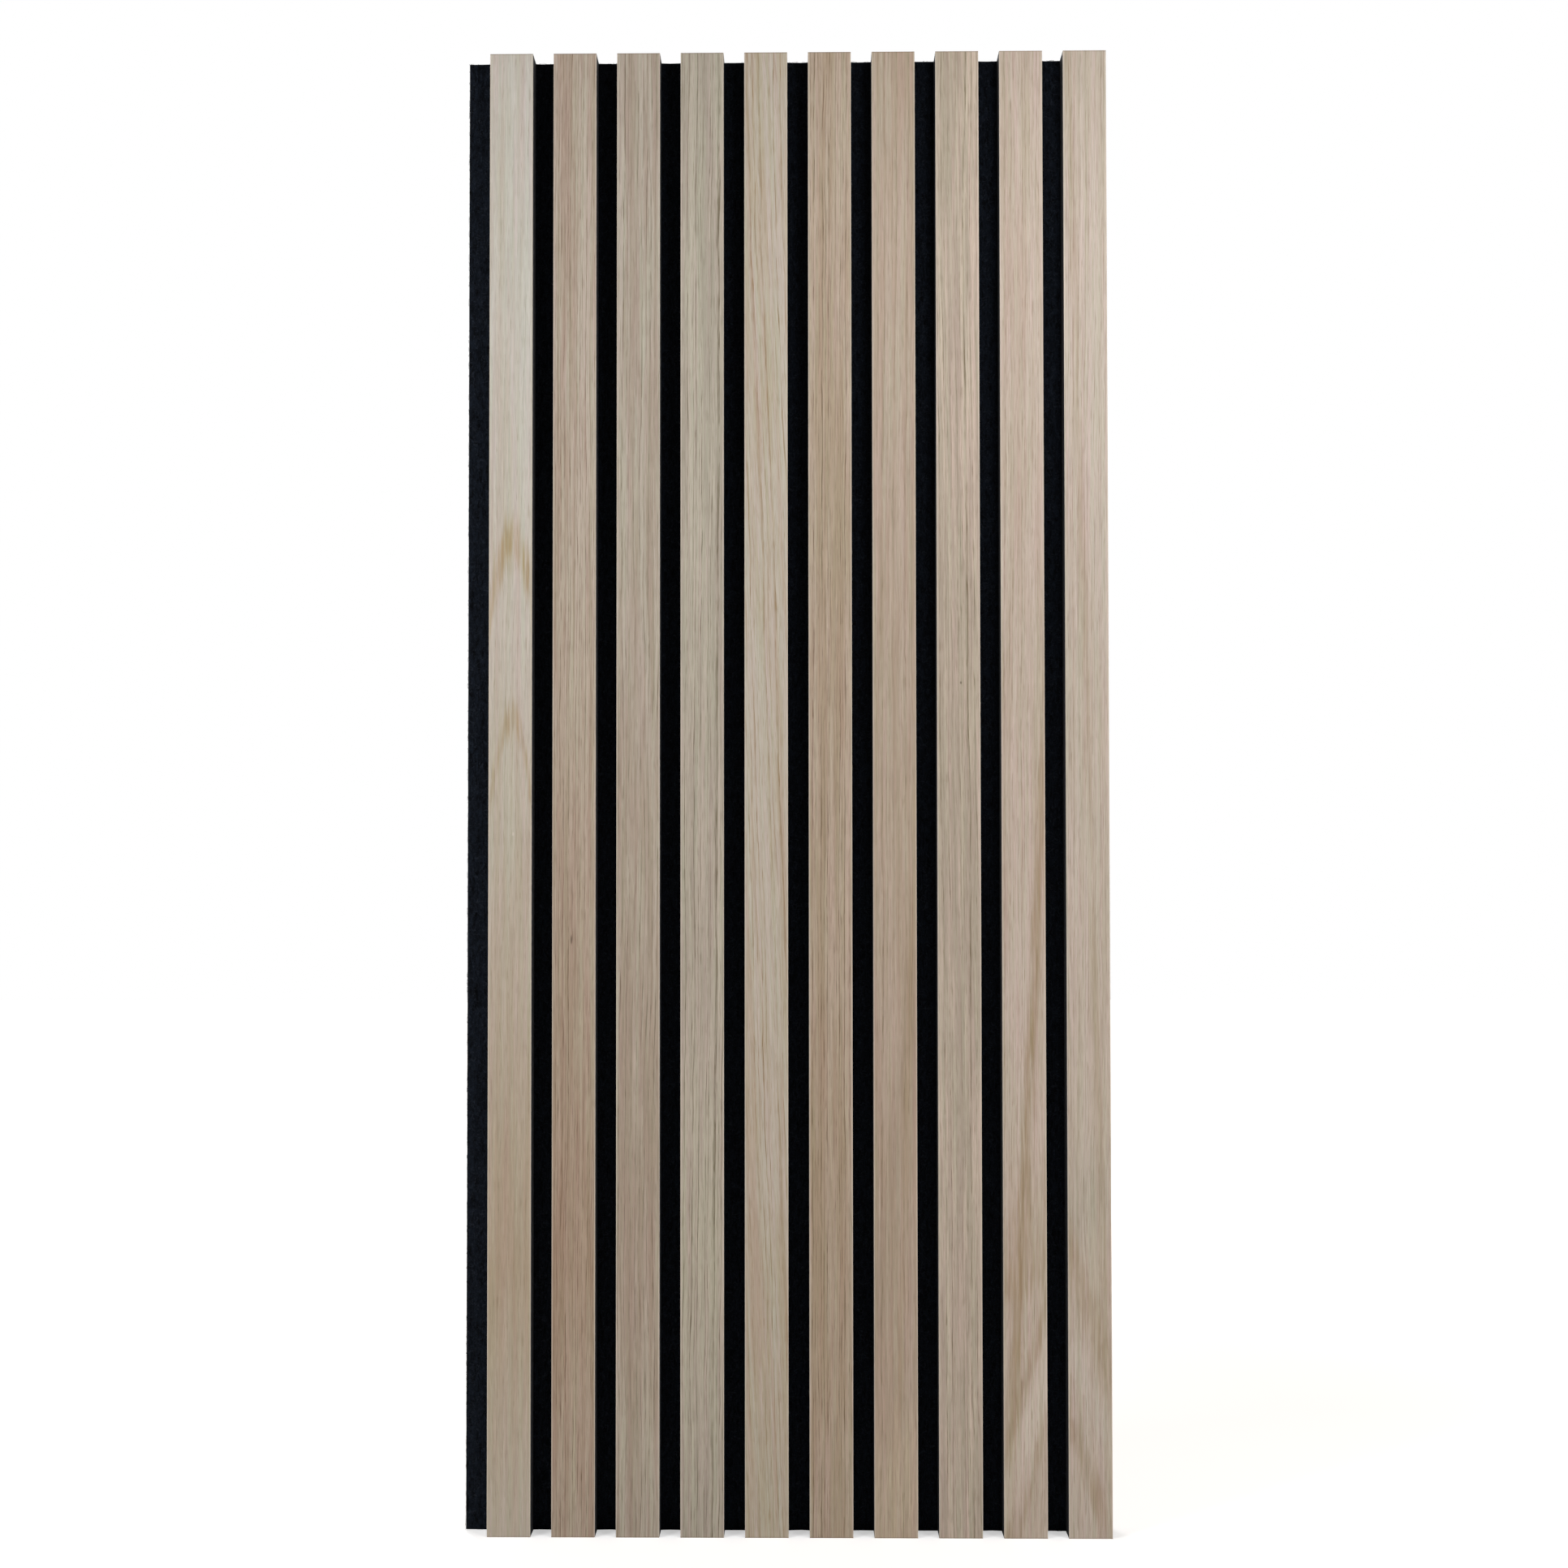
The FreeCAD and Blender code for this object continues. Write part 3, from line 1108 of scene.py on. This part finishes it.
    def select_crowns(self, board: Piece, columns: list[float], rows: list[float], back: float) -> None:
        """Selects the faces on the board's back that lie over a staple's crown.

        Args:
            board: the board, in edit mode.
            columns: the staples' places across the panel.
            rows: the staples' places along the panel.
            back: place of the board's back face.
        """
        bpy.ops.mesh.select_all(action="DESELECT")
        mesh = bmesh.from_edit_mesh(board.data)
        for face in mesh.faces:
            middle = face.calc_center_median()
            on_back = abs(middle.y - back) < self.touch * MM
            in_column = any(abs(middle.x - x) < self.crown_half * MM for x in columns)
            in_row = any(abs(middle.z - z) < self.crown_half_band * MM for z in rows)
            face.select_set(on_back and in_column and in_row)
        bmesh.update_edit_mesh(board.data)

    def roughen(self, board: Piece) -> None:
        """Lets the felt sink unevenly where no slat is glued to it, and smooths its shading.

        Args:
            board: the board.
        """
        take_alone(board)
        slack = self.touch * MM
        slats = self.slat_boxes()
        front = slats[0][1].y + self.edge_radius * MM
        free = board.vertex_groups.new(name="free_felt")
        for corner in board.data.vertices:
            under = any(low.x - slack < corner.co.x < high.x + slack for low, high in slats)
            if corner.co.y > front or not under:
                free.add([corner.index], 1.0, "REPLACE")
        waves = bpy.data.textures.new("felt_waves", "CLOUDS")
        waves.noise_scale = self.wave_size * MM
        displace = board.modifiers.new("felt_waves", "DISPLACE")
        displace.texture = waves
        displace.strength = self.wave_depth * MM
        displace.mid_level = 1.0
        displace.vertex_group = free.name
        bpy.ops.object.modifier_apply(modifier=displace.name)
        bpy.data.textures.remove(waves)
        board.vertex_groups.clear()
        bpy.ops.object.shade_smooth_by_angle(angle=math.radians(self.smooth_angle))

    def patches(self) -> list[FeltPatch]:
        """Lists the rectangles of felt that show.

        Returns:
            The lip, the back, the two long edges, the top, the foot and the gaps between the slats.
        """
        low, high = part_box("felt_backing")
        across = Vector((high.x - low.x, 0, 0))
        deep = Vector((0, high.y - low.y, 0))
        up = Vector((0, 0, high.z - low.z))
        slats = self.slat_boxes()
        lip = Vector((slats[0][0].x - low.x, 0, 0))
        patches = [
            FeltPatch(low, lip, up, self.lip_share),
            FeltPatch(Vector((low.x, high.y, low.z)), across, up, self.back_share),
            FeltPatch(low, deep, up, self.edge_share),
            FeltPatch(Vector((high.x, low.y, low.z)), deep, up, self.edge_share),
            FeltPatch(Vector((low.x, low.y, high.z)), across, deep, self.top_share),
            FeltPatch(low, across, deep, self.foot_share),
        ]
        gaps = [(left[1].x, right[0].x) for left, right in zip(slats, slats[1:])]
        for start, end in gaps:
            corner = Vector((start, low.y, low.z))
            gap = Vector((end - start, 0, 0))
            patches.append(FeltPatch(corner, gap, up, self.gap_share / len(gaps)))
        return patches

    def fibres(self) -> Piece:
        """Models the stray fibres that curl over the felt, as thin closed tubes.

        Returns:
            The fibres as one piece.
        """
        draw = random.Random(self.seed)
        middle = (cad_box[0] + cad_box[1]) / 2
        strands = bpy.data.curves.new("felt_fibres", "CURVE")
        strands.dimensions = "3D"
        strands.bevel_depth = self.fibre_radius * MM
        strands.bevel_resolution = 0
        strands.use_fill_caps = True
        for patch in self.patches():
            outward = patch.outward(middle)
            for _ in range(int(self.fibre_count * patch.share)):
                self.strand(strands, draw, patch, outward)
        piece = bpy.data.objects.new("felt_fibres", strands)
        bpy.context.scene.collection.objects.link(piece)
        take_alone(piece)
        bpy.ops.object.convert(target="MESH")
        return bpy.context.object

    def strand(
        self, strands: bpy.types.Curve, draw: random.Random, patch: FeltPatch, outward: Vector
    ) -> None:
        """Adds one fibre that lies in a loose curl on a rectangle of felt.

        Args:
            strands: the curve that takes the fibre.
            draw: source of chance.
            patch: the rectangle.
            outward: the direction out of the felt.
        """
        length = draw.uniform(*self.fibre_length) * MM
        heading = draw.uniform(0, 2 * math.pi)
        curl = draw.uniform(-self.fibre_curl, self.fibre_curl)
        point = patch.corner + patch.side * draw.random() + patch.rise * draw.random()
        flat = patch.side.normalized()
        upright = patch.rise.normalized()
        spline = strands.splines.new("POLY")
        spline.points.add(self.fibre_runs)
        for index, bend in enumerate(spline.points):
            lifted = 0 < index < self.fibre_runs
            lift = self.fibre_lift * MM * draw.random() if lifted else 0.0
            bend.co = (*(patch.nearest(point) + outward * lift), 1.0)
            run = flat * math.cos(heading) + upright * math.sin(heading)
            point = point + run * (length / self.fibre_runs)
            heading += curl


@dataclass(frozen=True)
class Softbox:
    """One square lamp that faces a spot on the panel. Places and sizes are in millimetres."""

    name: str
    place: Point
    aim: Point
    size: float
    watts: float
    colour: str = "#F6F9FF"


SOFTBOXES = (
    Softbox("left_softbox", place=(-1150.0, -700.0, 370.0), aim=(0.0, 0.0, -100.0), size=600.0, watts=12.8),
    Softbox("right_softbox", place=(1150.0, -700.0, -20.0), aim=(0.0, 0.0, -150.0), size=600.0, watts=12.2),
    Softbox("near_softbox", place=(220.0, -330.0, 400.0), aim=(175.0, 0.0, 220.0), size=160.0, watts=0.50),
    Softbox("back_softbox", place=(-900.0, 1700.0, 900.0), aim=(0.0, 0.0, 0.0), size=900.0, watts=18.0),
)


@dataclass
class Studio:
    """A white floor and backdrop, soft lamps on both sides, above and behind, and the camera.

    Places and distances are in millimetres and turns in degrees. The fill light runs from its strength
    behind the camera to its strength beside and behind the panel, over spans of the direction's own parts.
    """

    camera_place: Point = (9.1, -1042.8, -75.3)
    camera_turn: Point = (91.099, 0.057, 0.581)
    camera_lens: float = 37.69
    camera_sensor: float = 36.0
    camera_shift: float = 0.06
    backdrop: str = "#FFFFFF"
    fill_colour: str = "#FFF0DC"
    fill_strength: Span = (0.02, 0.38)
    side_range: Span = (0.55, 0.95)
    wall_range: Span = (-0.4, 0.1)
    floor_size: float = 12000.0
    floor_paint: str = "#EBE8E4"
    floor_glow: Span = (0.50, 1.0)
    glow_start: float = 450.0
    glow_full: float = 1400.0

    def build(self) -> None:
        """Sets up the floor, the world, the lamps and the camera."""
        bpy.context.scene.view_settings.view_transform = "Standard"
        self.floor()
        self.world()
        for softbox in SOFTBOXES:
            self.lamp(softbox)
        self.camera()

    def floor(self) -> None:
        """Lays a pale floor under the panel that is white to the camera and keeps the shadow."""
        bpy.ops.object.select_all(action="DESELECT")
        bpy.ops.mesh.primitive_plane_add(size=self.floor_size * MM, location=(0, 0, cad_box[0].z))
        floor = bpy.context.object
        floor.name = "floor"
        material = new_material("studio_floor")
        tree = material.node_tree
        place = add_node(tree, "TexCoord", output="Object")
        away = add_node(tree, "VectorMath", (place,), "Value", operation="LENGTH")
        glow = add_node(
            tree, "MapRange", (away, self.glow_start * MM, self.glow_full * MM, *self.floor_glow),
            interpolation_type="SMOOTHSTEP",
        )
        seen = add_node(tree, "LightPath", output="Is Camera Ray")
        shine = add_node(tree, "Math", (glow, seen), operation="MULTIPLY")
        lit = add_node(tree, "Emission", {"Color": linear(self.backdrop), "Strength": shine})
        paint = add_node(tree, "BsdfDiffuse", {"Color": linear(self.floor_paint)})
        both = add_node(tree, "AddShader", (lit, paint))
        add_node(tree, "OutputMaterial", {"Surface": both})
        dress(floor, material)

    def world(self) -> None:
        """Makes a backdrop that is white to the eye and a soft fill light, darker behind the camera."""
        world = bpy.data.worlds.new("studio")
        bpy.context.scene.world = world
        world.use_nodes = True
        tree = world.node_tree
        tree.nodes.clear()
        seen = add_node(tree, "LightPath", output="Is Camera Ray")
        for other in ("Is Glossy Ray", "Is Transmission Ray"):
            ray = add_node(tree, "LightPath", output=other)
            seen = add_node(tree, "Math", (seen, ray), operation="MAXIMUM")
        direction = add_node(tree, "TexCoord", output="Generated")
        sideways = add_node(tree, "SeparateXYZ", {"Vector": direction}, "X")
        sideways = add_node(tree, "Math", (sideways,), operation="ABSOLUTE")
        toward_wall = add_node(tree, "SeparateXYZ", {"Vector": direction}, "Y")
        beside = add_node(tree, "MapRange", (sideways, *self.side_range, *self.fill_strength))
        behind = add_node(tree, "MapRange", (toward_wall, *self.wall_range, *self.fill_strength))
        fill = add_node(tree, "Math", (beside, behind), operation="MAXIMUM")
        unseen = add_node(tree, "Background", {"Color": linear(self.fill_colour), "Strength": fill})
        white = add_node(tree, "Background", {"Color": linear(self.backdrop), "Strength": 1.0})
        both = add_node(tree, "MixShader", (seen, unseen, white))
        add_node(tree, "OutputWorld", {"Surface": both})

    def lamp(self, softbox: Softbox) -> None:
        """Hangs one softbox.

        Args:
            softbox: the lamp's place, aim, size and power.
        """
        data = bpy.data.lights.new(softbox.name, "AREA")
        data.shape = "SQUARE"
        data.size = softbox.size * MM
        data.energy = softbox.watts
        data.color = linear(softbox.colour)[:3]
        lamp = bpy.data.objects.new(softbox.name, data)
        lamp.location = Vector(softbox.place) * MM
        aim = Vector(softbox.aim) * MM - lamp.location
        lamp.rotation_euler = aim.to_track_quat("-Z", "Y").to_euler()
        bpy.context.scene.collection.objects.link(lamp)

    def camera(self) -> None:
        """Sets the camera at the height and angle that the panel is seen from."""
        data = bpy.data.cameras.new("camera")
        data.sensor_width = self.camera_sensor
        data.lens = self.camera_lens
        data.shift_y = self.camera_shift
        camera = bpy.data.objects.new("camera", data)
        camera.location = Vector(self.camera_place) * MM
        camera.rotation_euler = [math.radians(angle) for angle in self.camera_turn]
        bpy.context.scene.collection.objects.link(camera)
        bpy.context.scene.camera = camera


def main() -> None:
    """Dresses the panel and sets up the studio."""
    logging.basicConfig(level=logging.INFO)
    for pieces in (SlatRow().dress(), StapleRows().dress(), FeltBoard().build()):
        for piece in pieces:
            LOG.info("%s dressed, %d faces", piece.name, len(piece.data.polygons))
    Studio().build()
    LOG.info("studio set up with %d lamps", len(SOFTBOXES))


if __name__ == "__main__":
    main()
